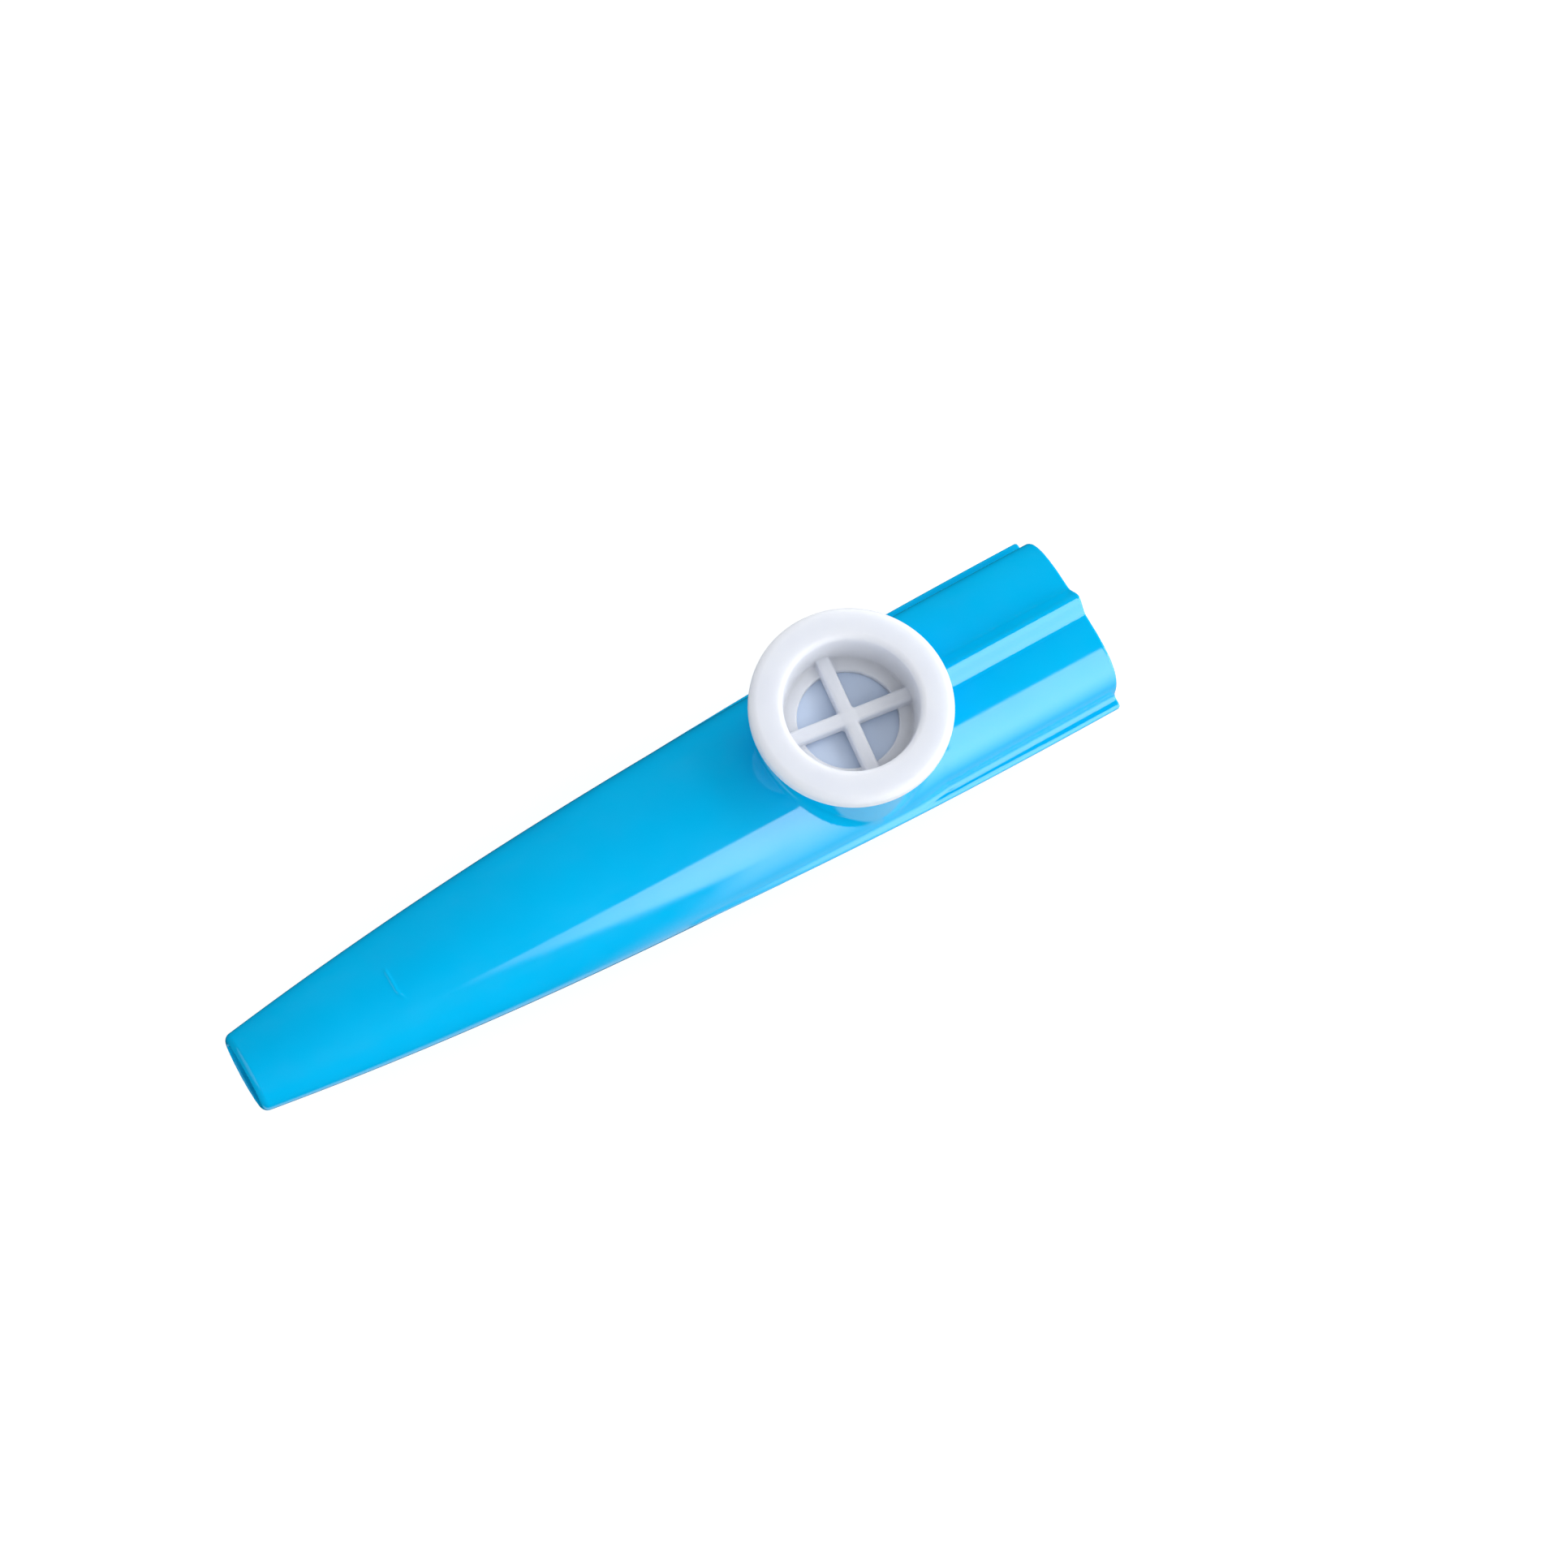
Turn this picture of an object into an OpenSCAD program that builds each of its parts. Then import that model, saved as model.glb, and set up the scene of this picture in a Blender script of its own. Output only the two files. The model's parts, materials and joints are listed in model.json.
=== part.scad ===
// Plastic kazoo: a hollow body with a round tapering barrel and a lobed mouth part,
// a turret that holds a film membrane on its carrier ring, and a press-in cap with a cross guard.
// +X runs along the body from the narrow end to the mouth end and +Z points up out of the turret.
// The origin lies under the middle of the body, on the surface that its flat underside rests on.

/* [Body] */
// Length of the body from end face to end face
body_l = 114; // [106:1:122]
// Diameter of the barrel where it is widest
barrel_d = 22.2; // [21.6:0.1:23]
// Outer diameter of the narrow end
tip_d = 9.9; // [9.4:0.1:11]
// How early the barrel fills out, where 1 is a straight cone
barrel_fullness = 2.85; // [2.4:0.05:3.2]
// Distance from the narrow end at which the barrel's side would run level
barrel_reach = 120; // [105:1:140]
// Rounding of the narrow end's outer edge
tip_round = 0.8; // [0.3:0.1:0.9]
// Wall of the barrel and of the mouth part
wall = 1.3; // [1:0.1:1.5]
// Diameter of the sound outlet in the narrow end
outlet_d = 8; // [7:0.1:8.4]
// Length of the sound outlet's straight bore
outlet_l = 4; // [3:0.5:6]
// How deep the underside is cut flat at the barrel's widest circle
rest_depth = 0.6; // [0.4:0.1:0.8]

/* [Mouth part] */
// Width of the mouth part, without its side ribs
mouth_w = 21.4; // [20.8:0.1:21.8]
// Height of the mouth part, without its ridges
mouth_h = 17.4; // [16.4:0.2:18.2]
// How square the mouth part's section is, where 2 is an ellipse
mouth_squareness = 3.2; // [2.6:0.1:3.4]
// Width over the edges of the two side ribs
rib_span = 24.4; // [23.8:0.1:24.8]
// Thickness of a side rib
rib_t = 1.3; // [1:0.1:1.8]
// Length of a side rib, which grows out of the barrel and ends at the mouth end
rib_l = 59; // [50:1:64]
// How early a side rib fills out along its length, where 1 is a straight edge
rib_fullness = 2.5; // [2:0.1:3]
// Width of a middle ridge at its foot
ridge_w = 4.4; // [3.8:0.1:5.4]
// Height of the upper middle ridge above the lobes beside it
ridge_rise = 1.8; // [1.2:0.1:2]

/* [Turret] */
// Distance of the turret's axis from the mouth end
turret_back = 32.5; // [29:0.5:35]
// Height of the neck's rim above the barrel's widest circle
neck_rise = 3.7; // [3:0.1:4.4]
// How far the neck's wall stands inside the barrel's widest circle
neck_inset = 0.3; // [0.1:0.1:0.6]
// Wall of the neck around the cap's seat
neck_wall = 1.3; // [1:0.1:1.6]
// Thickness of the shelf that carries the membrane
shelf_t = 1.2; // [0.9:0.1:1.6]
// Diameter of the sound port through the shelf
port_d = 13.2; // [12:0.2:14]

/* [Cap] */
// How far the cap's flange stands out past the neck
flange_lip = 1.35; // [1:0.05:2]
// Thickness of the flange
flange_t = 2.4; // [2.2:0.1:3.2]
// Rounding of the flange's upper outer edge
flange_round = 1; // [0.6:0.1:1.2]
// Rounding of the flange's lower outer edge
flange_under_round = 0.5; // [0.3:0.1:0.7]
// Length of the plug below the flange
plug_l = 4.4; // [4:0.1:4.8]
// Wall of the plug at the top of its recess
plug_wall = 1.3; // [1:0.1:1.5]
// Rounding of the recess's upper edge
recess_round = 0.7; // [0.4:0.1:0.9]
// How much the recess narrows from its top to its floor, on the radius
recess_draft = 0.35; // [0.1:0.05:0.5]
// Thickness of the recess's floor
floor_t = 1.1; // [0.8:0.1:1.4]
// Diameter of the window in the floor
window_d = 12.2; // [11.4:0.1:12.8]
// Width of a guard bar
guard_w = 2; // [1.4:0.1:2.4]
// Height of the guard bars above the recess's floor
guard_rise = 1.1; // [0.7:0.1:1.5]
// Angle by which the guard is turned from the body's axis, in degrees
guard_turn = -7; // [-44:1:45]

/* [Membrane] */
// Thickness of the carrier ring
ring_t = 1.1; // [0.8:0.1:1.4]
// Radial width of the carrier ring
ring_w = 2.5; // [2:0.1:2.8]
// Thickness of the film
film_t = 0.1; // [0.08:0.02:0.2]
// How far the film's edge stays inside the ring's edge
film_inset = 0.1; // [0.1:0.1:0.6]

/* [Fits] */
// Gap between the plug and its seat, on the radius
plug_gap = 0.05; // [0.03:0.01:0.1]
// Gap between the carrier ring and its seat, on the radius
ring_gap = 0.2; // [0.1:0.05:0.3]

/* [Hidden] */

// Overrun of every cut past the face that it leaves through
cut = 1;
// Steps along the barrel, along a side rib, along a quarter arc, along half a ridge and along
// a lobe's quarter
barrel_steps = 30;
rib_steps = 16;
arc_steps = 6;
ridge_steps = 8;
lobe_steps = 14;
round_fn = 96;

// Distance from the turret's axis to the barrel's widest circle, and the length of the
// rounded shoulder that closes the barrel there
belly_past = 4.1;
shoulder_l = 5.5;
// How far below the lobes' top the shoulder dies away
shoulder_sink = 0.4;
// How far the lower ridge's crest reaches past the flat underside before it is cut
ridge_overlap = 0.1;
// Gap between the film and the guard bars above it
guard_lift = 0.5;
// How far the guard bars run into the plug's wall
guard_bite = 0.5;
// Bevel of the plug's lower edge
plug_bevel = 0.3;
// How far below the barrel's surface a side rib starts
rib_sink = 0.15;

barrel_r = barrel_d / 2;
tip_r = tip_d / 2;
tip_x = -body_l / 2;
axis_h = barrel_r - rest_depth;
turret_s = body_l - turret_back;
belly_s = turret_s + belly_past;
rib_s = body_l - rib_l;
shoulder_r = mouth_h / 2 - shoulder_sink;
lower_ridge_rise = axis_h + ridge_overlap - mouth_h / 2;

neck_r = barrel_r - neck_inset;
neck_top = barrel_r + neck_rise;
seat_r = neck_r - neck_wall;
plug_r = seat_r - plug_gap;
recess_r = plug_r - plug_wall;
recess_floor_r = recess_r - recess_draft;
flange_r = neck_r + flange_lip;
cap_top = neck_top + flange_t;
cap_bottom = neck_top - plug_l;
floor_top = cap_bottom + floor_t;

film_bottom = cap_bottom - film_t;
shelf_top = film_bottom - ring_t;
shelf_bottom = shelf_top - shelf_t;
ring_r = seat_r - ring_gap;
film_r = ring_r - film_inset;

body_colour = [0, 0.66, 0.91];
cap_colour = [0.9, 0.91, 0.95];
ring_colour = [0.94, 0.94, 0.96];
film_colour = [0.74, 0.8, 0.91];

// How far the barrel has filled out at a distance s from the narrow end, and its radius there
function fill_at(s) = 1 - pow(1 - s / barrel_reach, barrel_fullness);
function barrel_r_at(s) = tip_r + (barrel_r - tip_r) * fill_at(s) / fill_at(belly_s);

// Points of a quarter ellipse about a centre, from one angle to another
function arc(centre, half_w, half_h, from, to) =
    [for (i = [0 : arc_steps])
        let (a = from + (to - from) * i / arc_steps)
        centre + [half_w * cos(a), half_h * sin(a)]];

// Outline of the barrel, as radius and distance from the narrow end, drawn in by an inset,
// with a rounded outer edge and up to the shoulder that closes it inside the mouth part
function barrel_outline(start, inset, edge) = concat(
    [[0, start]],
    edge > 0 ? arc([barrel_r_at(start + edge) - inset - edge, start + edge], edge, edge, -90, 0) : [],
    [for (i = [edge > 0 ? 1 : 0 : barrel_steps - 1])
        let (s = start + (belly_s - start) * i / barrel_steps)
        [barrel_r_at(s) - inset, s]],
    arc([shoulder_r - inset, belly_s], barrel_r - shoulder_r, shoulder_l - inset, 0, 90),
    [[0, belly_s + shoulder_l - inset]]);

// Half height of the lobed section at a distance y from its middle, without the ridge
function lobe_z(y, half_w, half_h) =
    half_h * pow(1 - pow(y / half_w, mouth_squareness), 1 / mouth_squareness);

// Height that a middle ridge adds at a distance y from its middle
function ridge_z(y, half_w, rise) = rise * (1 + cos(180 * y / half_w)) / 2;

// Quarter of the lobed section from its middle to its side, drawn in by an inset
function mouth_quarter(inset, rise) =
    let (
        half_w = mouth_w / 2 - inset,
        half_h = mouth_h / 2 - inset,
        foot = ridge_w / 2 - inset,
        foot_angle = acos(pow(foot / half_w, mouth_squareness / 2))
    )
    concat(
        [for (i = [0 : ridge_steps - 1])
            let (y = foot * i / ridge_steps)
            [y, lobe_z(y, half_w, half_h) + ridge_z(y, foot, rise)]],
        [for (i = [0 : lobe_steps])
            let (a = foot_angle * (1 - i / lobe_steps))
            [half_w * pow(cos(a), 2 / mouth_squareness),
                half_h * pow(sin(a), 2 / mouth_squareness)]]);

module along_body(s) {
    translate([tip_x + s, 0, axis_h]) children();
}

module revolved_about_axis() {
    rotate([0, 90, 0]) rotate_extrude($fn = round_fn) children();
}

module mouth_prism(from, to) {
    translate([from, 0, 0]) rotate([90, 0, 90]) linear_extrude(to - from) children();
}

module turret_disc(r, from, to) {
    translate([turret_s, 0, from]) cylinder(r = r, h = to - from, $fn = round_fn);
}

// Section of the mouth part, with a ridge above and below
module mouth_section(inset) {
    upper = mouth_quarter(inset, ridge_rise);
    lower = [for (p = mouth_quarter(inset, lower_ridge_rise)) [p.x, -p.y]];
    for (side = [0, 1]) mirror([side, 0]) {
        polygon(concat([[0, 0]], upper));
        polygon(concat([[0, 0]], lower));
    }
}

// Half the width over the side ribs at a distance s from the narrow end
function rib_y_at(s) =
    let (start = barrel_r_at(rib_s) - rib_sink)
    start + (rib_span / 2 - start) * (1 - pow((body_l - s) / rib_l, rib_fullness));

// Both side ribs as one plate with rounded edges, which grow out of the barrel in one long curve
module ribs() {
    edge = [for (i = [0 : rib_steps]) let (s = rib_s + rib_l * i / rib_steps) [s, rib_y_at(s)]];
    intersection() {
        mouth_prism(rib_s, body_l) {
            square([rib_span - rib_t, rib_t], center = true);
            for (side = [-1, 1])
                translate([side * (rib_span - rib_t) / 2, 0]) circle(d = rib_t, $fn = round_fn);
        }
        translate([0, 0, -rib_t])
            linear_extrude(2 * rib_t)
                for (side = [0, 1]) mirror([0, side])
                    polygon(concat([[rib_s, 0]], edge, [[body_l, 0]]));
    }
}

module body_outer() {
    revolved_about_axis() polygon(barrel_outline(0, 0, tip_round));
    mouth_prism(turret_s, body_l) mouth_section(0);
    ribs();
    turret_disc(neck_r, 0, neck_top);
}

// Barrel, mouth part and the chamber under the shelf, with the sound outlet's bore
module body_hollow() {
    revolved_about_axis() polygon(barrel_outline(outlet_l, wall, 0));
    mouth_prism(turret_s, body_l + cut) mouth_section(wall);
    turret_disc(seat_r, 0, shelf_bottom + cut);
    translate([-cut, 0, 0]) rotate([0, 90, 0])
        cylinder(d = outlet_d, h = outlet_l + 2 * cut, $fn = round_fn);
}

module body() {
    color(body_colour) along_body(0) difference() {
        union() {
            difference() {
                body_outer();
                body_hollow();
            }
            turret_disc(neck_r, shelf_bottom, neck_top);
        }
        turret_disc(seat_r, shelf_top, neck_top + cut);
        turret_disc(port_d / 2, shelf_bottom - cut, shelf_top + cut);
        translate([-cut, -rib_span / 2, -axis_h - barrel_r])
            cube([body_l + 2 * cut, rib_span, barrel_r]);
    }
}

module membrane_ring() {
    color(ring_colour) along_body(0) difference() {
        turret_disc(ring_r, shelf_top, film_bottom);
        turret_disc(ring_r - ring_w, shelf_top - cut, film_bottom + cut);
    }
}

module membrane_film() {
    color(film_colour) along_body(0) turret_disc(film_r, film_bottom, cap_bottom);
}

// Outline of the cap without its guard, as radius and height above the body's axis
function cap_outline() = concat(
    [[window_d / 2, cap_bottom], [plug_r - plug_bevel, cap_bottom], [plug_r, cap_bottom + plug_bevel]],
    [[plug_r, neck_top]],
    arc([flange_r - flange_under_round, neck_top + flange_under_round],
        flange_under_round, flange_under_round, -90, 0),
    arc([flange_r - flange_round, cap_top - flange_round], flange_round, flange_round, 0, 90),
    arc([recess_r + recess_round, cap_top - recess_round], recess_round, recess_round, 90, 180),
    [[recess_floor_r, floor_top], [window_d / 2, floor_top]]);

module guard_bar() {
    bar_l = 2 * (recess_floor_r + guard_bite);
    bar_bottom = cap_bottom + guard_lift;
    translate([-bar_l / 2, -guard_w / 2, bar_bottom])
        cube([bar_l, guard_w, floor_top + guard_rise - bar_bottom]);
}

module cap() {
    color(cap_colour) along_body(turret_s) {
        rotate_extrude($fn = round_fn) polygon(cap_outline());
        rotate([0, 0, guard_turn]) {
            guard_bar();
            rotate([0, 0, 90]) guard_bar();
        }
    }
}

body();
membrane_ring();
membrane_film();
cap();
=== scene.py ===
import json
import math
import bpy
import numpy as np
from mathutils import Matrix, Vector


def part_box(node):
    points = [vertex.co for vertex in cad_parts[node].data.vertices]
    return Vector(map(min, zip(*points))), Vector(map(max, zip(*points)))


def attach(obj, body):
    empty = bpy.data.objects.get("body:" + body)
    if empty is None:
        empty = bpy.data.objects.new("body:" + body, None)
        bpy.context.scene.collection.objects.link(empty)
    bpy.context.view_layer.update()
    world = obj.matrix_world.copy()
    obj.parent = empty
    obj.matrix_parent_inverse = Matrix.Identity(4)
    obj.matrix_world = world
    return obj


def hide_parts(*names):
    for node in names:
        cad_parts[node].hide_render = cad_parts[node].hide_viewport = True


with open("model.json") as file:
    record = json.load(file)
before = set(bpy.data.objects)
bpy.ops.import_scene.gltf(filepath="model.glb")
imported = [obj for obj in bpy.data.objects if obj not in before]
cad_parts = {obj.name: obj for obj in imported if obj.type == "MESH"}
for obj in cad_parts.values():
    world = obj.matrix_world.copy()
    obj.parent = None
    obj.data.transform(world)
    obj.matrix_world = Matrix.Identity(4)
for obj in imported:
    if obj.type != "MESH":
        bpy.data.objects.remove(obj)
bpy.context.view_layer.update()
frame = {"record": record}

# Lengths are in millimetres. A field's own frame is (s, y, h): s runs from the narrow end to the
# mouth end, y across, and h up from the barrel's axis. The cap's and membrane's is (x, y, h) from
# the turret's axis. A field is negative in the solid, and about a distance near its surface.
MM = 0.001

body_low, body_high = (np.array(corner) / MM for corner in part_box("body"))
cap_low, cap_high = (np.array(corner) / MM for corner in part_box("cap"))
ring_low, ring_high = (np.array(corner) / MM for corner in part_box("membrane_ring"))
film_low, film_high = (np.array(corner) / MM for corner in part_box("membrane_film"))
mounts = {mount["name"]: mount for mount in frame["record"]["mounts"]}
outlet = mounts["sound_outlet"]

# Sizes from the frame
BODY_L = body_high[0] - body_low[0]
AXIS_H = outlet["pos_m"][2] / MM
RIB_HALF_SPAN = body_high[1]
NECK_TOP = body_high[2] - AXIS_H
TURRET_X = (cap_low[0] + cap_high[0]) / 2
TURRET_S = TURRET_X - body_low[0]
FLANGE_R = (cap_high[0] - cap_low[0]) / 2
CAP_TOP = cap_high[2] - AXIS_H
CAP_BOTTOM = cap_low[2] - AXIS_H
RING_R = (ring_high[0] - ring_low[0]) / 2
SHELF_TOP = ring_low[2] - AXIS_H
RING_TOP = ring_high[2] - AXIS_H
FILM_R = (film_high[0] - film_low[0]) / 2
FILM_TOP = film_high[2] - AXIS_H
OUTLET_R = outlet["dims"]["r_mm"]
OUTLET_L = outlet["dims"]["length_mm"]

# Barrel: its radius grows from the tip to the belly, fast at first, and would level off at REACH
BARREL_R = 11.1
TIP_R = 4.95
FULLNESS = 2.85
REACH = 120
BELLY_PAST_TURRET = 4.1
BELLY_S = TURRET_S + BELLY_PAST_TURRET
SHOULDER_L = 5.5
SHOULDER_R = 8.3
WALL = 1.3
TIP_ROUND = 0.8

# Moulding mark on the barrel: turns are in degrees round the axis, from the top to the near side
MARK_S = 19.6
MARK_RISE = 0.08
MARK_HALF_W = 0.22
MARK_LEAN = 0.45
MARK_LEAN_TURNS = (12, 25)
MARK_START_TURNS = (-12, -7)
MARK_END_TURNS = (13, 27)

# Mouth part: it swells to its full section between two places, measured from the turret's axis
LOBE_HALF_W = 10.7
LOBE_HALF_H = 8.7
SQUARENESS = 3.2
LEAST_STEEPNESS = 0.5
RIDGE_HALF_W = 2.2
RIDGE_RISE = 1.8
MOUTH_SINK = 1.2
MOUTH_SWELLS_FROM = -2
MOUTH_SWELLS_TO = 10
MOUTH_OVERLAP = 6
MOUTH_BORE_OVERLAP = 4
MOUTH_FILLET = 0.9
MOUTH_BORE_FILLET = 0.3

# Side ribs
RIB_T = 1.3
RIB_L = 59
RIB_S = BODY_L - RIB_L
RIB_FULLNESS = 2.5
RIB_SINK = 0.15
RIB_DRAFT = 0.1
RIB_ROUND = 0.5
RIB_FILLET = 0.7

# Turret: the fillet at its foot grows between two heights
NECK_R = 10.8
NECK_ROUND = 0.25
FOOT_FILLET = 0.7
FOOT_HEIGHTS = (1, 8)
SEAT_R = 9.5
SEAT_ROUND = 0.15
SHELF_T = 1.2
PORT_R = 6.6
PORT_LOW = 3
OUTLET_OVERLAP = 1

# Cap
PLUG_R = 9.45
PLUG_SINK = 1
FLANGE_ROUND = 1.0
UNDER_ROUND = 0.5
RECESS_R = 8.15
RECESS_FLOOR_R = 7.8
RECESS_ROUND = 0.7
RECESS_FILLET = 0.35
RECESS_BOTTOM = 11.5
WINDOW_R = 6.1
GUARD_HALF_W = 1.0
GUARD_DRAFT = 0.12
GUARD_RISE = 1.1
GUARD_LIFT = 0.5
GUARD_OVERLAP = 0.5
GUARD_ROUND = 0.4
GUARD_FILLET = 0.35
GUARD_TURN = math.radians(-7)

# Membrane: held flat past the ring's opening, with a slack middle that puckers in slanting waves
RING_ROUND = 0.2
RING_CORNER_POINTS = 5
RING_SECTORS = 128
FILM_SECTORS = 96
FILM_MIDDLE_R = 0.3
FILM_FREE_RINGS = 22
FILM_HELD_RADII = (7.4, 8.2)
FILM_EDGE = 0.05
FILM_SAG = 0.08
FILM_SLACK_SHARE = 0.4
PUCKER_SHARE = 0.4
PUCKER_ALONG = 0.9
PUCKER_ACROSS = 0.6
PUCKER_SHIFT = 0.4

# Edges
EDGE = 0.3
SOFT_EDGE = 0.2
SHARP_EDGE = 0.1

# Grids for the meshes: spacings, finer where the shape turns quickly, and where they change
BODY_MARGIN = 0.4
BODY_GRID = 0.33
TIP_END_S = 1.2
TIP_GRID = 0.16
OUTLET_END_S = 5.2
OUTLET_GRID = 0.35
BARREL_GRID = 1.1
BEFORE_MARK = 0.5
PAST_MARK = 1
MARK_GRID = 0.1
BELLY_GRID = 1.3
TURRET_START_S = 68
TURRET_END_S = 95
MOUTH_GRID = 0.9
MOUTH_END_L = 1.2
MOUTH_END_GRID = 0.15
CAP_MARGIN = 0.3
CAP_LOW_MARGIN = 0.2
CAP_GRID = 0.21
CAP_HEIGHT_GRID = 0.2

# Meshing: the small step that a slope is taken over, and how points settle on the surface
SLOPE_STEP = 1e-3
SETTLE_ROUNDS = 4
LEAST_SLOPE_SQUARED = 0.2
LONGEST_MOVE = 0.15

# Fields: the least number to divide by, and a value well outside a solid
TINY = 1e-6
OUTSIDE = 99

# Colours, in linear light: two close ones for each material
BODY_COLOURS = ((0.0, 0.435, 0.81), (0.0, 0.465, 0.85))
CAP_COLOURS = ((0.73, 0.755, 0.825), (0.76, 0.785, 0.845))
RING_COLOURS = ((0.83, 0.83, 0.86), (0.87, 0.87, 0.89))
FILM_COLOURS = ((0.65, 0.77, 0.96), (0.70, 0.81, 0.98))

# Noise: the stretch of its values that the looks follow
NOISE_LOW = 0.3
NOISE_HIGH = 0.7

# Camera: the angle and framing of the photograph, in degrees and millimetres
CAMERA_AZIMUTH = -42.962
CAMERA_ELEVATION = 71.875
CAMERA_ROLL = 12.869
CAMERA_TARGET_X = 16.313
CAMERA_TARGET_Y = -0.435
CAMERA_DISTANCE = 538.5
CAMERA_NEAREST = 50
CAMERA_FARTHEST = 20000
LENS = 102.9
SENSOR_W = 36

# Floor
FLOOR_HALF_W = 6000
FLOOR_WHITE = 0.85
SEEN_FLOOR_WHITE = 0.27
SEEN_FLOOR_LIFT = 0.83

# Key lamp: KEY_LEVEL is how bright it makes a white face that is turned to it
KEY_DISTANCE = 600
KEY_SIZE = 330
KEY_LEVEL = 0.37
KEY_TOWARDS = (0.80, -0.10, 0.60)

# World: a tilt is a share each of near, up and mouth, and a step is where a soft rise starts and ends
ROOM_LEVEL = 1.16
ROOM_TILT = (0.1, -0.65, 0.5)
ROOM_NEAR_GLOW = 0.8
ROOM_NEAR_STEP = (0.2, 1)
ROOM_FAR_GLOW = 0.35
ROOM_FAR_STEP = (-1, -0.2)

# Panels that reflections show, on the near side
PANEL_LEVEL = 5.5
PANEL_TILT = (0.685, -1, 0.257)
PANEL_EDGE_TILT = (-0.1058, 0.2332, 1)
PANEL_EDGE_STEP = (-0.012, 0.012)
PANEL_MOUTH_STEP = (0.125, 0.15)
PANEL_START_STEP = (-0.04, -0.02)
PANEL_FADE_STEP = (-0.045, 0.14)
PANEL_FADE_LEVEL = 0.3
PANEL_UP_STEP = (-0.95, 0.35)
HIGH_PANEL_TILT = (1, -0.133, -0.84)
HIGH_PANEL_EDGE_STEP = (-0.02, 0.02)
HIGH_PANEL_MOUTH_STEP = (0.19, 0.23)
NEAR_SIDE_STEP = (0, 0.1)

# Glow of the floor, panel beyond the narrow end, and the dim rest, in reflections
FLOOR_GLOW = 0.55
FLOOR_UP_STEP = (-0.75, -0.4)
FLOOR_MOUTH_STEP = (0.09, 0.15)
FLOOR_FOOT_STEP = (-0.95, -0.88)
END_LEVEL = 1
END_MOUTH_STEP = (-0.6, -0.5)
END_UP_STEP = (0.1, 0.3)
DIM_LEVEL = 0.005


def union(a, b, fillet):
    """Two fields joined, with a fillet where they meet."""
    near = np.maximum(fillet, np.minimum(a, b))
    return near - np.hypot(np.maximum(fillet - a, 0), np.maximum(fillet - b, 0))


def common(a, b, rounding):
    """What two fields share, with its edge rounded."""
    return -union(-a, -b, rounding)


def without(a, b, rounding):
    """Field a with field b cut away, and the cut's edge rounded."""
    return common(a, -b, rounding)


def smooth(value, start, end):
    """0 before start, 1 after end, and a soft rise between them."""
    share = np.clip((value - start) / (end - start), 0, 1)
    return share * share * (3 - 2 * share)


def barrel_r_and_tilt(s):
    """Radius of the barrel at a distance from the narrow end, and how fast it grows there."""
    left = np.clip(1 - s / REACH, 0, None)
    growth = (BARREL_R - TIP_R) / (1 - (1 - BELLY_S / REACH) ** FULLNESS)
    return TIP_R + growth * (1 - left ** FULLNESS), growth * FULLNESS / REACH * left ** (FULLNESS - 1)


def barrel(s, y, h, inset):
    """Round barrel, full towards the mouth, with an elliptic shoulder behind the turret."""
    r = np.hypot(y, h) + inset
    barrel_r, tilt = barrel_r_and_tilt(s)
    side = r - barrel_r
    half_l = SHOULDER_L - inset
    half_r = BARREL_R - SHOULDER_R
    u = np.maximum(s - BELLY_S, 0) / half_l
    v = np.maximum(r - SHOULDER_R, 0) / half_r
    k = np.hypot(u, v)
    end = k * (k - 1) / np.maximum(np.hypot(u / half_l, v / half_r), TINY)
    inner = np.maximum(s - BELLY_S - half_l, r - BARREL_R)
    end = np.where(r < SHOULDER_R, inner, end)
    return np.where(s < BELLY_S, side / np.hypot(1, tilt), end)


def lobes(y, h, inset):
    """Section of the mouth part: a squared oval with a ridge along its middle, above and below."""
    half_w = LOBE_HALF_W - inset
    half_h = LOBE_HALF_H - inset
    foot = RIDGE_HALF_W - inset

    def level(y, h):
        """0 on the section's outline, and growing outwards."""
        ridge = RIDGE_RISE * (1 + np.cos(np.pi * np.minimum(np.abs(y) / foot, 1))) / 2
        upright = np.maximum(np.abs(h) - ridge, 0)
        k = (np.abs(y) / half_w) ** SQUARENESS + (upright / half_h) ** SQUARENESS
        return k ** (1 / SQUARENESS) - 1

    across = (level(y + SLOPE_STEP, h) - level(y - SLOPE_STEP, h)) / (2 * SLOPE_STEP)
    up = (level(y, h + SLOPE_STEP) - level(y, h - SLOPE_STEP)) / (2 * SLOPE_STEP)
    return level(y, h) / np.maximum(np.hypot(across, up), LEAST_STEEPNESS / half_w)


def ribs(s, y, h):
    """A thin rib along each side, which grows out of the barrel in one long curve."""
    left = np.clip((BODY_L - s) / (BODY_L - RIB_S), 0, 1)
    start = barrel_r_and_tilt(RIB_S)[0] - RIB_SINK
    span = start + (RIB_HALF_SPAN - start) * (1 - left ** RIB_FULLNESS)
    half_t = RIB_T / 2 - RIB_DRAFT * np.maximum(np.abs(y) - LOBE_HALF_W, 0)
    plate = common(np.abs(y) - span, np.abs(h) - half_t, RIB_ROUND)
    return common(plate, RIB_S - s, SHARP_EDGE)


def moulding_mark(s, y, h):
    """Height of the thin raised line across the top of the barrel, near the narrow end."""
    turn = np.degrees(np.arctan2(-y, h))
    place = MARK_S + MARK_LEAN * smooth(turn, *MARK_LEAN_TURNS)
    ends = smooth(turn, *MARK_START_TURNS) * (1 - smooth(turn, *MARK_END_TURNS))
    return MARK_RISE * ends * np.exp(-((s - place) / MARK_HALF_W) ** 2)


def turret(s, y, radius):
    """An endless upright cylinder on the turret's axis."""
    return np.hypot(s - TURRET_S, y) - radius


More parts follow.
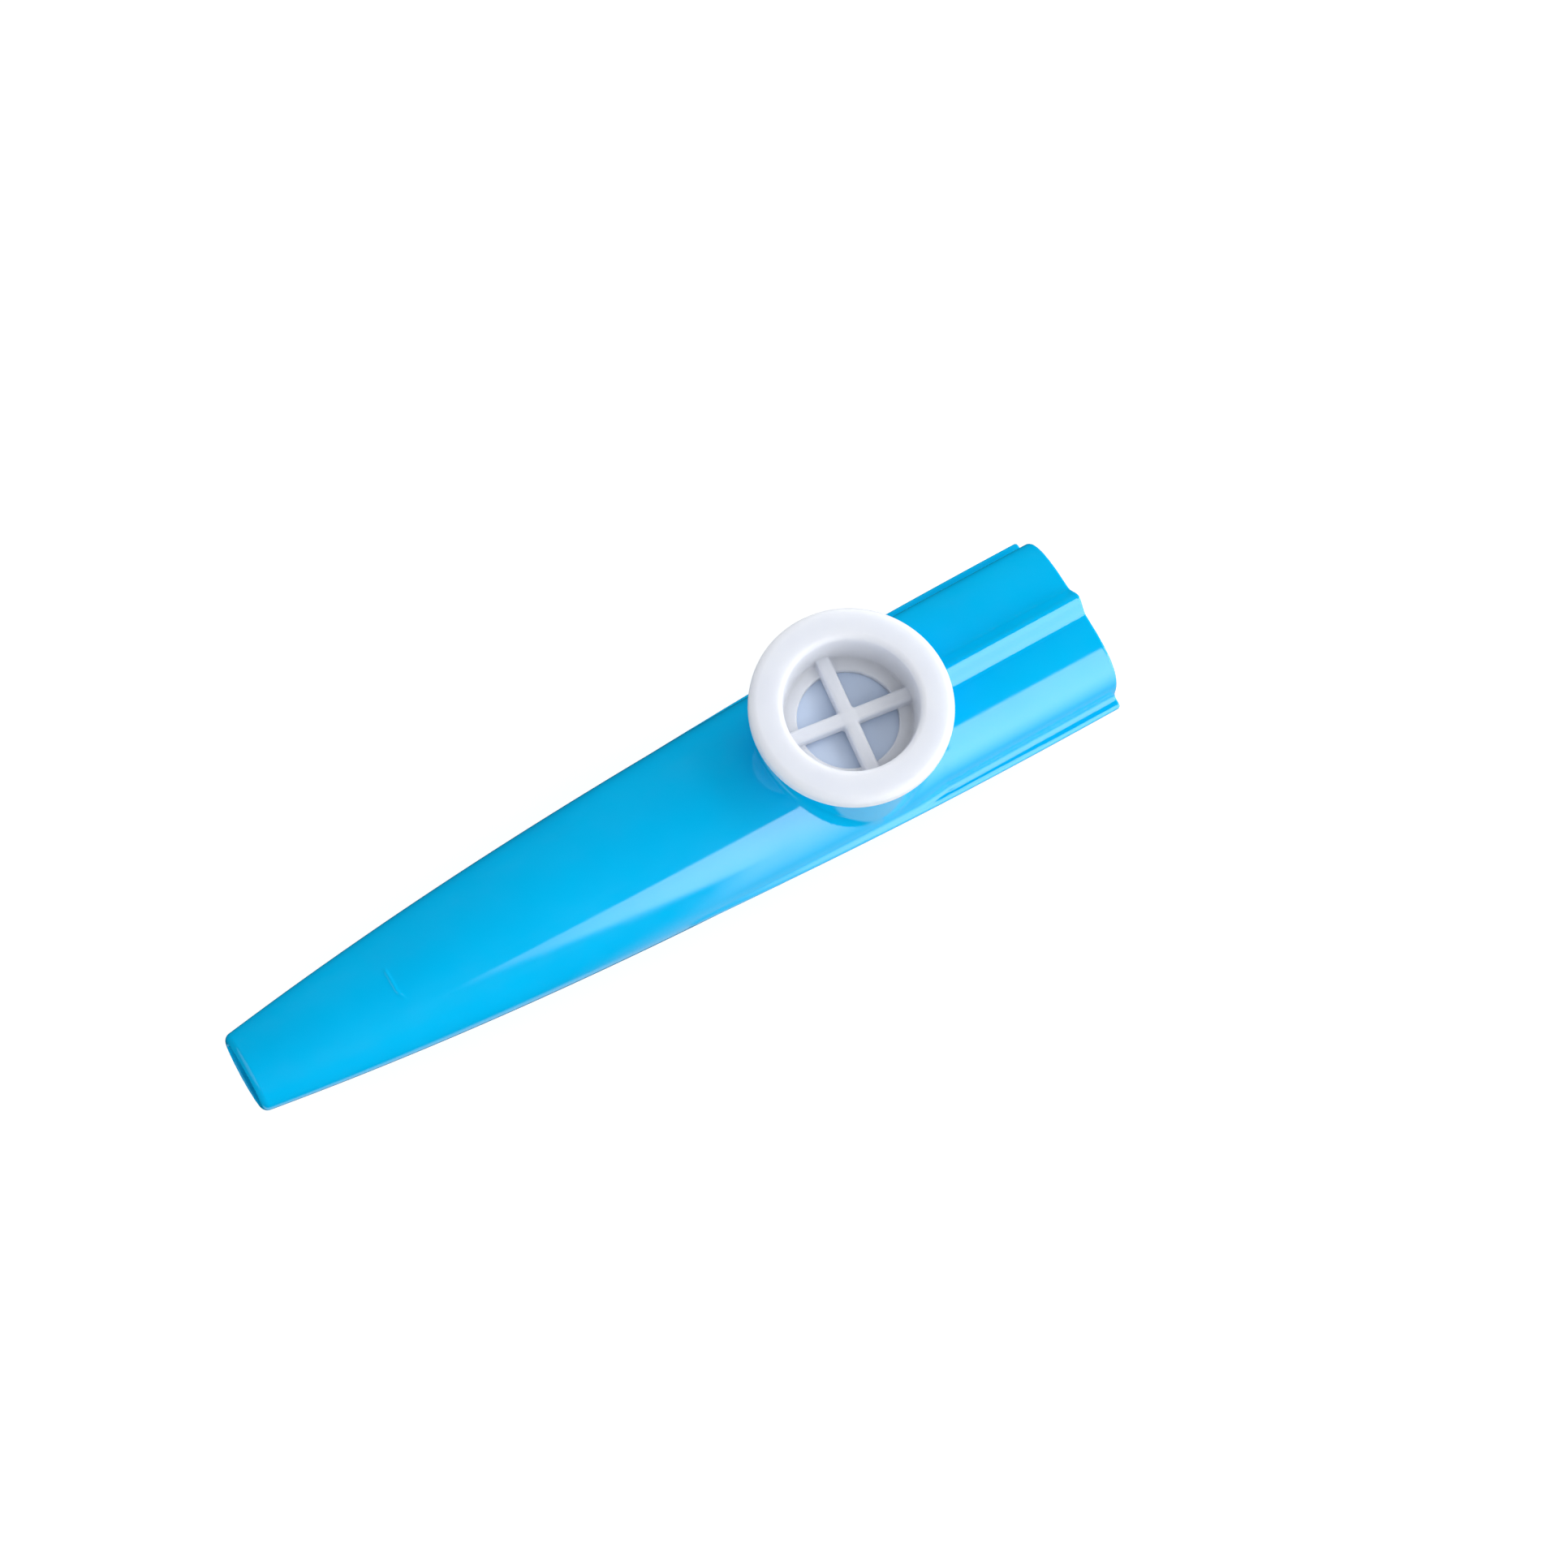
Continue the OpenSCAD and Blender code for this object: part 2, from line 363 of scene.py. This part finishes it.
def body_skin(s, y, h, neck, sink):
    """Outside of the body: barrel, mouth part, ribs and neck, cut square at both ends and below."""
    mouth = common(lobes(y, h, 0) + sink, TURRET_S - MOUTH_OVERLAP - s, EDGE)
    outer = union(barrel(s, y, h, 0), mouth, MOUTH_FILLET) - moulding_mark(s, y, h)
    outer = union(outer, ribs(s, y, h), RIB_FILLET)
    outer = union(outer, neck, SHARP_EDGE + FOOT_FILLET * smooth(h, *FOOT_HEIGHTS))
    outer = common(outer, s - BODY_L, EDGE)
    outer = common(outer, -s, TIP_ROUND)
    return common(outer, -h - AXIS_H, SHARP_EDGE)


def body_hollow(s, y, h, shelf_bottom, sink):
    """Inside of the body: barrel and mouth part less the wall, chamber under the shelf, and outlet."""
    inner = common(barrel(s, y, h, WALL), OUTLET_L - s, SHARP_EDGE)
    mouth = common(lobes(y, h, WALL) + sink, TURRET_S - MOUTH_BORE_OVERLAP - s, SHARP_EDGE)
    inner = union(inner, mouth, MOUTH_BORE_FILLET)
    chamber = common(turret(s, y, SEAT_R), np.maximum(h - shelf_bottom, -h), SOFT_EDGE)
    inner = union(inner, chamber, SOFT_EDGE)
    bore = np.maximum(np.hypot(y, h) - OUTLET_R, s - OUTLET_L - OUTLET_OVERLAP)
    return union(inner, bore, SHARP_EDGE)


def body_field(s, y, h):
    """The whole moulded body: skin, neck, bore, membrane seat and sound port."""
    shelf_bottom = SHELF_TOP - SHELF_T
    neck = common(turret(s, y, NECK_R), np.maximum(h - NECK_TOP, -h), NECK_ROUND)
    sink = MOUTH_SINK * (1 - smooth(s, TURRET_S + MOUTH_SWELLS_FROM, TURRET_S + MOUTH_SWELLS_TO))
    shell = without(body_skin(s, y, h, neck, sink), body_hollow(s, y, h, shelf_bottom, sink), EDGE)
    shell = np.minimum(shell, np.maximum(neck, shelf_bottom - h))
    shell = without(shell, np.maximum(turret(s, y, SEAT_R), SHELF_TOP - h), SEAT_ROUND)
    port = np.where(h < PORT_LOW, OUTSIDE, turret(s, y, PORT_R))
    return without(shell, port, SOFT_EDGE)


def guard_bar(along, across, h):
    """One guard bar: draft on its sides, and rounded along its upper edges."""
    bottom = CAP_BOTTOM + GUARD_LIFT
    side = np.abs(across) - GUARD_HALF_W + GUARD_DRAFT * (h - bottom)
    beam = common(side, h - RECESS_BOTTOM - GUARD_RISE, GUARD_ROUND)
    beam = common(beam, bottom - h, SOFT_EDGE)
    return common(beam, np.abs(along) - RECESS_FLOOR_R - GUARD_OVERLAP, SHARP_EDGE)


def cap_field(x, y, h):
    """Press-in cap: flange, plug, recess with a window in its floor, and the cross guard."""
    r = np.hypot(x, y)
    flange = common(r - FLANGE_R, h - CAP_TOP, FLANGE_ROUND)
    flange = common(flange, NECK_TOP - h, UNDER_ROUND)
    plug = common(r - PLUG_R, np.maximum(CAP_BOTTOM - h, h - CAP_TOP + PLUG_SINK), EDGE)
    solid = np.minimum(flange, plug)
    draft = (RECESS_R - RECESS_FLOOR_R) / (CAP_TOP - RECESS_BOTTOM)
    recess = common(r - RECESS_FLOOR_R - draft * (h - RECESS_BOTTOM), RECESS_BOTTOM - h, RECESS_FILLET)
    solid = without(solid, recess, RECESS_ROUND)
    solid = without(solid, r - WINDOW_R, SOFT_EDGE)
    along = x * math.cos(GUARD_TURN) + y * math.sin(GUARD_TURN)
    across = y * math.cos(GUARD_TURN) - x * math.sin(GUARD_TURN)
    guard = union(guard_bar(along, across, h), guard_bar(across, along, h), GUARD_FILLET)
    return union(solid, guard, SOFT_EDGE)


def slope_of(field, points):
    """Gradient of a field at points."""
    slope = np.empty_like(points)
    for axis in range(3):
        ahead = points.copy()
        behind = points.copy()
        ahead[:, axis] += SLOPE_STEP
        behind[:, axis] -= SLOPE_STEP
        slope[:, axis] = (field(*ahead.T) - field(*behind.T)) / (2 * SLOPE_STEP)
    return slope


def crossing_points(axes, values, cells):
    """For each cell, the middle of the places where the surface crosses its edges."""
    total = np.zeros(cells.shape)
    hits = np.zeros(len(cells))
    for axis in range(3):
        step = np.eye(3, dtype=int)[axis]
        for corner in np.ndindex(2, 2, 2):
            if corner[axis]:
                continue
            start = cells + np.array(corner)
            end = start + step
            here = values[tuple(start.T)]
            there = values[tuple(end.T)]
            hit = (here < 0) != (there < 0)
            share = np.where(hit, here / np.where(hit, here - there, 1), 0)
            point = np.stack([axes[i][start[:, i]] for i in range(3)], 1)
            point[:, axis] += share * (axes[axis][end[:, axis]] - point[:, axis])
            total[hit] += point[hit]
            hits += hit
    return total / hits[:, None]


def surface_quads(solid, number):
    """One quad, facing outwards, across each grid edge that leaves the solid."""
    shape = np.array(solid.shape) - 1
    quads = []
    for axis in range(3):
        u = (axis + 1) % 3
        v = (axis + 2) % 3
        low = [slice(None)] * 3
        high = [slice(None)] * 3
        low[axis] = slice(0, -1)
        high[axis] = slice(1, None)
        here = solid[tuple(low)]
        edges = np.argwhere(here != solid[tuple(high)])
        inside = (edges[:, u] > 0) & (edges[:, v] > 0)
        inside &= (edges[:, u] < shape[u]) & (edges[:, v] < shape[v])
        edges = edges[inside]
        outward = here[tuple(edges.T)]
        ring = []
        for du, dv in ((-1, -1), (0, -1), (0, 0), (-1, 0)):
            cell = edges.copy()
            cell[:, u] += du
            cell[:, v] += dv
            ring.append(number[tuple(cell.T)])
        ring = np.stack(ring, 1)
        ring[~outward] = ring[~outward][:, ::-1]
        quads.append(ring)
    return np.concatenate(quads)


def surface_net(field, axes):
    """Mesh of a field's surface: one vertex in each grid cell that it crosses, moved onto it."""
    values = field(*np.ix_(*axes))
    solid = values < 0
    shape = np.array(solid.shape) - 1
    count = np.zeros(shape, np.int8)
    for corner in np.ndindex(2, 2, 2):
        count += solid[tuple(slice(c, c + n) for c, n in zip(corner, shape))]
    crossed = (count > 0) & (count < 8)
    number = np.full(crossed.shape, -1)
    number[crossed] = np.arange(crossed.sum())
    points = crossing_points(axes, values, np.argwhere(crossed))
    for _ in range(SETTLE_ROUNDS):
        slope = slope_of(field, points)
        move = field(*points.T) / np.maximum((slope ** 2).sum(1), LEAST_SLOPE_SQUARED)
        points -= np.clip(slope * move[:, None], -LONGEST_MOVE, LONGEST_MOVE)
    return points, surface_quads(solid, number), slope_of(field, points)


def steps(start, *stretches):
    """Grid places along an axis from start, in stretches of (end, rough spacing)."""
    places = [np.array([start])]
    for end, spacing in stretches:
        count = max(1, round((end - start) / spacing))
        places.append(np.linspace(start, end, count + 1)[1:])
        start = end
    return np.concatenate(places)


def piece_from(name, points, faces, normals=None):
    """A smooth-shaded object from points in millimetres, placed as in the frame."""
    mesh = bpy.data.meshes.new(name)
    mesh.from_pydata((points * MM).tolist(), [], [list(map(int, face)) for face in faces])
    mesh.update()
    mesh.polygons.foreach_set("use_smooth", [True] * len(mesh.polygons))
    if normals is not None:
        unit = normals / np.linalg.norm(normals, axis=1)[:, None]
        mesh.normals_split_custom_set_from_vertices(unit.tolist())
    piece = bpy.data.objects.new(name, mesh)
    bpy.context.scene.collection.objects.link(piece)
    return piece


def make_body():
    """The body's mesh, on a grid that is fine at both ends, at the moulding mark and at the turret."""
    along = steps(
        -BODY_MARGIN,
        (TIP_END_S, TIP_GRID),
        (OUTLET_END_S, OUTLET_GRID),
        (MARK_S - BEFORE_MARK, BARREL_GRID),
        (MARK_S + PAST_MARK, MARK_GRID),
        (TURRET_START_S, BELLY_GRID),
        (TURRET_END_S, BODY_GRID),
        (BODY_L - MOUTH_END_L, MOUTH_GRID),
        (BODY_L + BODY_MARGIN, MOUTH_END_GRID))
    across = steps(-RIB_HALF_SPAN - BODY_MARGIN, (RIB_HALF_SPAN + BODY_MARGIN, BODY_GRID))
    up = steps(-AXIS_H - BODY_MARGIN, (NECK_TOP + BODY_MARGIN, BODY_GRID))
    points, quads, normals = surface_net(body_field, (along, across, up))
    points += np.array([body_low[0], 0, AXIS_H])
    return piece_from("kazoo_body", points, quads, normals)


def make_cap():
    """The cap's mesh, on an even grid."""
    across = steps(-FLANGE_R - CAP_MARGIN, (FLANGE_R + CAP_MARGIN, CAP_GRID))
    up = steps(CAP_BOTTOM - CAP_LOW_MARGIN, (CAP_TOP + CAP_MARGIN, CAP_HEIGHT_GRID))
    points, quads, normals = surface_net(cap_field, (across, across, up))
    points += np.array([TURRET_X, 0, AXIS_H])
    return piece_from("press_in_cap", points, quads, normals)


def rounded_section(inner_r, outer_r, bottom, top, rounding):
    """Closed outline of a rounded rectangle, as (radius, height) points."""
    outline = []
    corners = ((outer_r, bottom, -90), (outer_r, top, 0), (inner_r, top, 90), (inner_r, bottom, 180))
    for r, h, start in corners:
        centre_r = r - rounding if r == outer_r else r + rounding
        centre_h = h - rounding if h == top else h + rounding
        for turn in np.linspace(start, start + 90, RING_CORNER_POINTS):
            angle = math.radians(turn)
            over = rounding * math.cos(angle)
            up = rounding * math.sin(angle)
            outline.append((centre_r + over, centre_h + up))
    return outline


def make_ring():
    """The carrier ring under the film, lathed from a rounded section."""
    section = rounded_section(PORT_R, RING_R, SHELF_TOP, RING_TOP, RING_ROUND)
    points = []
    for turn in np.linspace(0, 2 * math.pi, RING_SECTORS, endpoint=False):
        for r, h in section:
            points.append((TURRET_X + r * math.cos(turn), r * math.sin(turn), AXIS_H + h))
    size = len(section)
    quads = []
    for i in range(RING_SECTORS):
        here = i * size
        there = (i + 1) % RING_SECTORS * size
        for j in range(size):
            k = (j + 1) % size
            quads.append((here + j, there + j, there + k, here + k))
    return piece_from("membrane_carrier_ring", np.array(points), quads)


def film_sag(x, y):
    """How far the free film dips below its edge, with a few soft puckers."""
    r = np.hypot(x, y)
    free = 1 - smooth(r, FILM_SLACK_SHARE * PORT_R, PORT_R)
    wave = np.sin(PUCKER_ALONG * x - PUCKER_ACROSS * y + PUCKER_SHIFT)
    return FILM_SAG * free * (1 - PUCKER_SHARE + PUCKER_SHARE * wave)


def make_film():
    """The membrane: a closed thin disc, a little slack over the ring's opening."""
    free_radii = np.linspace(FILM_MIDDLE_R, PORT_R, FILM_FREE_RINGS)
    radii = np.concatenate([free_radii, FILM_HELD_RADII, (FILM_R - FILM_EDGE, FILM_R)])
    count = FILM_SECTORS
    turns = np.linspace(0, 2 * math.pi, count, endpoint=False)
    x = np.outer(radii, np.cos(turns)).ravel()
    y = np.outer(radii, np.sin(turns)).ravel()
    x = np.append(x, 0)
    y = np.append(y, 0)
    sag = film_sag(x, y)
    top = np.stack([x + TURRET_X, y, AXIS_H + FILM_TOP - sag], 1)
    bottom = np.stack([x + TURRET_X, y, AXIS_H + RING_TOP - sag], 1)
    middle = len(x) - 1
    side = len(x)
    rim = (len(radii) - 1) * count
    faces = []
    for j in range(count):
        k = (j + 1) % count
        faces.append((middle, j, k))
        faces.append((side + middle, side + k, side + j))
        for i in range(len(radii) - 1):
            here = i * count
            there = here + count
            faces.append((here + j, there + j, there + k, here + k))
            faces.append((side + here + k, side + there + k, side + there + j, side + here + j))
        faces.append((rim + j, side + rim + j, side + rim + k, rim + k))
    return piece_from("membrane_sheet", np.concatenate([top, bottom]), faces)


class Finish:
    """A node material with a Principled shader, and short ways to add what varies over it."""

    def __init__(self, name):
        self.material = bpy.data.materials.new(name)
        self.material.use_nodes = True
        self.nodes = self.material.node_tree.nodes
        self.links = self.material.node_tree.links
        self.shader = self.nodes["Principled BSDF"]
        self.place = self.nodes.new("ShaderNodeTexCoord").outputs["Object"]
        self.relief = None

    def set(self, **values):
        """Values that are the same all over, by the names of the shader's sockets."""
        for name, value in values.items():
            self.shader.inputs[name.replace("_", " ")].default_value = value

    def noise(self, size, detail, stretch=(1, 1, 1)):
        """Noise with features about size millimetres across."""
        mapping = self.nodes.new("ShaderNodeMapping")
        mapping.inputs["Scale"].default_value = stretch
        noise = self.nodes.new("ShaderNodeTexNoise")
        noise.inputs["Scale"].default_value = 1 / (size * MM)
        noise.inputs["Detail"].default_value = detail
        self.links.new(self.place, mapping.inputs["Vector"])
        self.links.new(mapping.outputs["Vector"], noise.inputs["Vector"])
        return noise.outputs["Fac"]

    def ranged(self, source, low, high):
        """A value that follows a noise between two limits."""
        ranged = self.nodes.new("ShaderNodeMapRange")
        ranged.inputs["From Min"].default_value = NOISE_LOW
        ranged.inputs["From Max"].default_value = NOISE_HIGH
        ranged.inputs["To Min"].default_value = low
        ranged.inputs["To Max"].default_value = high
        self.links.new(source, ranged.inputs["Value"])
        return ranged.outputs["Result"]

    def tint(self, source, colours):
        """Base colour that drifts between two close colours."""
        mix = self.nodes.new("ShaderNodeMix")
        mix.data_type = "RGBA"
        mix.inputs["A"].default_value = (*colours[0], 1)
        mix.inputs["B"].default_value = (*colours[1], 1)
        self.links.new(self.ranged(source, 0, 1), mix.inputs["Factor"])
        self.links.new(mix.outputs["Result"], self.shader.inputs["Base Color"])

    def rough(self, source, low, high):
        """Roughness that follows a noise between two limits."""
        self.links.new(self.ranged(source, low, high), self.shader.inputs["Roughness"])

    def bump(self, source, depth):
        """Relief of a noise, depth millimetres high, over the relief that is there."""
        bump = self.nodes.new("ShaderNodeBump")
        bump.inputs["Strength"].default_value = 1
        bump.inputs["Distance"].default_value = depth * MM
        self.links.new(source, bump.inputs["Height"])
        if self.relief:
            self.links.new(self.relief, bump.inputs["Normal"])
        self.relief = bump.outputs["Normal"]
        self.links.new(self.relief, self.shader.inputs["Normal"])


def body_plastic():
    """Glossy sky-blue moulding: faint colour drift, soft flow waves and fine haze in the gloss."""
    finish = Finish("sky_blue_plastic")
    finish.set(IOR=1.5)
    finish.tint(finish.noise(size=16, detail=3), BODY_COLOURS)
    finish.rough(finish.noise(size=3, detail=4), low=0.07, high=0.12)
    finish.bump(finish.noise(size=9, detail=1, stretch=(0.4, 1, 1)), depth=0.008)
    finish.bump(finish.noise(size=0.5, detail=2), depth=0.0006)
    return finish.material


def cap_plastic():
    """Satin white moulding with a faint cool tint, and light that spreads under its skin."""
    finish = Finish("white_cap_plastic")
    finish.set(IOR=1.46, Specular_IOR_Level=0.4)
    finish.set(Subsurface_Weight=0.9, Subsurface_Radius=(1, 1, 1), Subsurface_Scale=3.0 * MM)
    finish.tint(finish.noise(size=6, detail=3), CAP_COLOURS)
    finish.rough(finish.noise(size=1.5, detail=4), low=0.30, high=0.42)
    finish.bump(finish.noise(size=5, detail=1), depth=0.008)
    finish.bump(finish.noise(size=0.25, detail=2), depth=0.0012)
    return finish.material


def ring_plastic():
    """Plain satin white moulding."""
    finish = Finish("white_ring_plastic")
    finish.set(IOR=1.46, Specular_IOR_Level=0.4)
    finish.tint(finish.noise(size=4, detail=3), RING_COLOURS)
    finish.rough(finish.noise(size=1, detail=4), low=0.32, high=0.45)
    finish.bump(finish.noise(size=0.25, detail=2), depth=0.0012)
    return finish.material


def film_plastic():
    """Thin milky film with a soft sheen, which lets a little of the dark chamber through."""
    finish = Finish("membrane_film_plastic")
    finish.set(IOR=1.4, Transmission_Weight=0.05)
    finish.tint(finish.noise(size=5, detail=1), FILM_COLOURS)
    finish.rough(finish.noise(size=1.2, detail=3), low=0.3, high=0.42)
    finish.bump(finish.noise(size=4, detail=1), depth=0.004)
    return finish.material


def dress(piece, material, body, node):
    """Gives a piece its material, the body that it rides on and the node that it stands for."""
    piece.data.materials.append(material)
    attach(piece, body)
    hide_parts(node)


dress(make_body(), body_plastic(), "shell", "body")
dress(make_ring(), ring_plastic(), "membrane", "membrane_ring")
dress(make_film(), film_plastic(), "membrane", "membrane_film")
dress(make_cap(), cap_plastic(), "cap", "cap")


def put(thing, right, up, back, place):
    """Turns an object to its own axes and puts it at a place in millimetres."""
    rows = np.stack([right, up, back, place * MM], 1)
    thing.matrix_world = Matrix([*rows.tolist(), (0, 0, 0, 1)])
    bpy.context.scene.collection.objects.link(thing)


def make_camera():
    """Long lens above the near side, rolled so that the body runs up to the right."""
    azimuth = math.radians(CAMERA_AZIMUTH)
    elevation = math.radians(CAMERA_ELEVATION)
    roll = math.radians(CAMERA_ROLL)
    target = np.array([CAMERA_TARGET_X, CAMERA_TARGET_Y, AXIS_H])
    back = np.array([
        math.sin(azimuth) * math.cos(elevation),
        -math.cos(azimuth) * math.cos(elevation),
        math.sin(elevation)])
    level = np.array([math.cos(azimuth), math.sin(azimuth), 0])
    over = np.cross(back, level)
    right = level * math.cos(roll) + over * math.sin(roll)
    camera = bpy.data.objects.new("camera", bpy.data.cameras.new("camera"))
    camera.data.lens = LENS
    camera.data.sensor_width = SENSOR_W
    camera.data.clip_start = CAMERA_NEAREST * MM
    camera.data.clip_end = CAMERA_FARTHEST * MM
    put(camera, right, np.cross(back, right), back, target + back * CAMERA_DISTANCE)
    bpy.context.scene.camera = camera


def make_key():
    """Soft key from the mouth end, a little to the near side. Reflections come from the world."""
    aim = np.array([TURRET_X, 0, AXIS_H])
    towards = np.array(KEY_TOWARDS)
    towards /= np.linalg.norm(towards)
    light = bpy.data.lights.new("key", "AREA")
    light.shape = "SQUARE"
    light.size = KEY_SIZE * MM
    light.energy = KEY_LEVEL * math.pi ** 2 * (KEY_DISTANCE * MM) ** 2
    side = np.cross([0, 0, 1], towards)
    side /= np.linalg.norm(side)
    lamp = bpy.data.objects.new("key", light)
    lamp.visible_camera = False
    lamp.visible_glossy = False
    put(lamp, side, np.cross(towards, side), towards, aim + towards * KEY_DISTANCE)


class Sky:
    """World nodes: arithmetic on a direction's parts towards the near side, up and the mouth end."""

    def __init__(self):
        self.world = bpy.data.worlds.new("studio")
        self.world.use_nodes = True
        self.nodes = self.world.node_tree.nodes
        self.links = self.world.node_tree.links
        self.nodes.clear()
        place = self.nodes.new("ShaderNodeTexCoord").outputs["Generated"]
        split = self.nodes.new("ShaderNodeSeparateXYZ")
        self.links.new(place, split.inputs[0])
        self.mouth = split.outputs["X"]
        self.up = split.outputs["Z"]
        self.near = self.math("MULTIPLY", split.outputs["Y"], -1)

    def math(self, operation, a, b):
        """Arithmetic on two values, each a number or another node's."""
        node = self.nodes.new("ShaderNodeMath")
        node.operation = operation
        for value, socket in zip((a, b), node.inputs):
            if isinstance(value, (int, float)):
                socket.default_value = value
            else:
                self.links.new(value, socket)
        return node.outputs[0]

    def tilt(self, near_share, up_share, mouth_share):
        """A value that grows steadily to one side: positive beyond a plane through the object."""
        total = self.math("MULTIPLY", self.near, near_share)
        total = self.math("ADD", total, self.math("MULTIPLY", self.up, up_share))
        return self.math("ADD", total, self.math("MULTIPLY", self.mouth, mouth_share))

    def ramp(self, value, step, low=0, high=1):
        """A soft step in a value, from low before its start to high after its end."""
        node = self.nodes.new("ShaderNodeMapRange")
        node.interpolation_type = "SMOOTHSTEP"
        for name, number in zip(("From Min", "From Max", "To Min", "To Max"), (*step, low, high)):
            node.inputs[name].default_value = number
        self.links.new(value, node.inputs["Value"])
        return node.outputs["Result"]

    def both(self, a, b):
        """Where both are bright."""
        return self.math("MULTIPLY", a, b)

    def either(self, a, b):
        """The brighter of two."""
        return self.math("MAXIMUM", a, b)

    def glow(self, strength):
        """White light of a strength that may vary with direction."""
        background = self.nodes.new("ShaderNodeBackground")
        if isinstance(strength, (int, float)):
            background.inputs["Strength"].default_value = strength
        else:
            self.links.new(strength, background.inputs["Strength"])
        background.inputs["Color"].default_value = (1, 1, 1, 1)
        return background.outputs["Background"]

    def choose(self, factor, otherwise, chosen):
        """The chosen light where the factor is 1, and the other where it is 0."""
        mix = self.nodes.new("ShaderNodeMixShader")
        self.links.new(factor, mix.inputs[0])
        self.links.new(otherwise, mix.inputs[1])
        self.links.new(chosen, mix.inputs[2])
        return mix.outputs["Shader"]


def near_panel(sky):
    """A tall pale panel on the near side, in two overlapping parts, dimmer low down."""
    top = sky.ramp(sky.tilt(*PANEL_TILT), PANEL_EDGE_STEP)
    edge = sky.either(
        sky.ramp(sky.tilt(*PANEL_EDGE_TILT), PANEL_EDGE_STEP),
        sky.ramp(sky.mouth, PANEL_MOUTH_STEP))
    fade = sky.both(
        sky.ramp(sky.mouth, PANEL_START_STEP),
        sky.ramp(sky.mouth, PANEL_FADE_STEP, low=PANEL_FADE_LEVEL))
    low_part = sky.both(sky.both(top, edge), fade)
    high_part = sky.both(
        sky.ramp(sky.tilt(*HIGH_PANEL_TILT), HIGH_PANEL_EDGE_STEP),
        sky.ramp(sky.mouth, HIGH_PANEL_MOUTH_STEP))
    return sky.both(sky.either(low_part, high_part), sky.ramp(sky.up, PANEL_UP_STEP, high=PANEL_LEVEL))


def floor_glow(sky):
    """A weak glow from below, towards the mouth end and straight down."""
    edge = sky.either(
        sky.ramp(sky.mouth, FLOOR_MOUTH_STEP),
        sky.ramp(sky.up, FLOOR_FOOT_STEP, low=1, high=0))
    return sky.both(sky.ramp(sky.up, FLOOR_UP_STEP, low=FLOOR_GLOW, high=0), edge)


def studio_glow(sky):
    """What reflections see: the near side's panel and floor glow, and a panel past the narrow end."""
    near_side = sky.both(
        sky.either(near_panel(sky), floor_glow(sky)),
        sky.ramp(sky.near, NEAR_SIDE_STEP))
    end_panel = sky.both(
        sky.ramp(sky.mouth, END_MOUTH_STEP, low=END_LEVEL, high=0),
        sky.ramp(sky.up, END_UP_STEP))
    return sky.math("ADD", sky.either(near_side, end_panel), DIM_LEVEL)


def room_glow(sky):
    """What lights the surfaces: a pale room, brighter low down, at both sides and at the mouth end."""
    room = sky.math("ADD", sky.tilt(*ROOM_TILT), ROOM_LEVEL)
    room = sky.math("ADD", room, sky.ramp(sky.near, ROOM_NEAR_STEP, high=ROOM_NEAR_GLOW))
    return sky.math("ADD", room, sky.ramp(sky.near, ROOM_FAR_STEP, low=ROOM_FAR_GLOW, high=0))


def make_world():
    """Pale room for diffuse light, white for the camera, panels for reflections."""
    sky = Sky()
    path = sky.nodes.new("ShaderNodeLightPath")
    output = sky.nodes.new("ShaderNodeOutputWorld")
    room = sky.glow(room_glow(sky))
    light = sky.choose(path.outputs["Is Glossy Ray"], room, sky.glow(studio_glow(sky)))
    light = sky.choose(path.outputs["Is Camera Ray"], light, sky.glow(1))
    sky.links.new(light, output.inputs["Surface"])
    bpy.context.scene.world = sky.world


def white_floor():
    """Matte white. To the camera it is mostly plain white, with enough matte left for the shadow."""
    material = bpy.data.materials.new("white_floor")
    material.use_nodes = True
    nodes = material.node_tree.nodes
    links = material.node_tree.links
    nodes.clear()
    path = nodes.new("ShaderNodeLightPath")
    paper = nodes.new("ShaderNodeBsdfDiffuse")
    paper.inputs["Color"].default_value = (FLOOR_WHITE, FLOOR_WHITE, FLOOR_WHITE, 1)
    seen_paper = nodes.new("ShaderNodeBsdfDiffuse")
    seen_paper.inputs["Color"].default_value = (SEEN_FLOOR_WHITE, SEEN_FLOOR_WHITE, SEEN_FLOOR_WHITE, 1)
    lift = nodes.new("ShaderNodeEmission")
    lift.inputs["Strength"].default_value = SEEN_FLOOR_LIFT
    lifted = nodes.new("ShaderNodeAddShader")
    links.new(seen_paper.outputs["BSDF"], lifted.inputs[0])
    links.new(lift.outputs["Emission"], lifted.inputs[1])
    seen = nodes.new("ShaderNodeMixShader")
    links.new(path.outputs["Is Camera Ray"], seen.inputs[0])
    links.new(paper.outputs["BSDF"], seen.inputs[1])
    links.new(lifted.outputs["Shader"], seen.inputs[2])
    output = nodes.new("ShaderNodeOutputMaterial")
    links.new(seen.outputs["Shader"], output.inputs["Surface"])
    return material


def make_floor():
    """Plain white floor that reflections don't show, because the world holds its glow."""
    half = FLOOR_HALF_W * MM
    corners = [(-half, -half, 0), (half, -half, 0), (half, half, 0), (-half, half, 0)]
    mesh = bpy.data.meshes.new("floor")
    mesh.from_pydata(corners, [], [(0, 1, 2, 3)])
    mesh.materials.append(white_floor())
    floor = bpy.data.objects.new("floor", mesh)
    floor.visible_glossy = False
    bpy.context.scene.collection.objects.link(floor)


make_camera()
make_key()
make_world()
make_floor()
bpy.context.scene.view_settings.view_transform = "Standard"
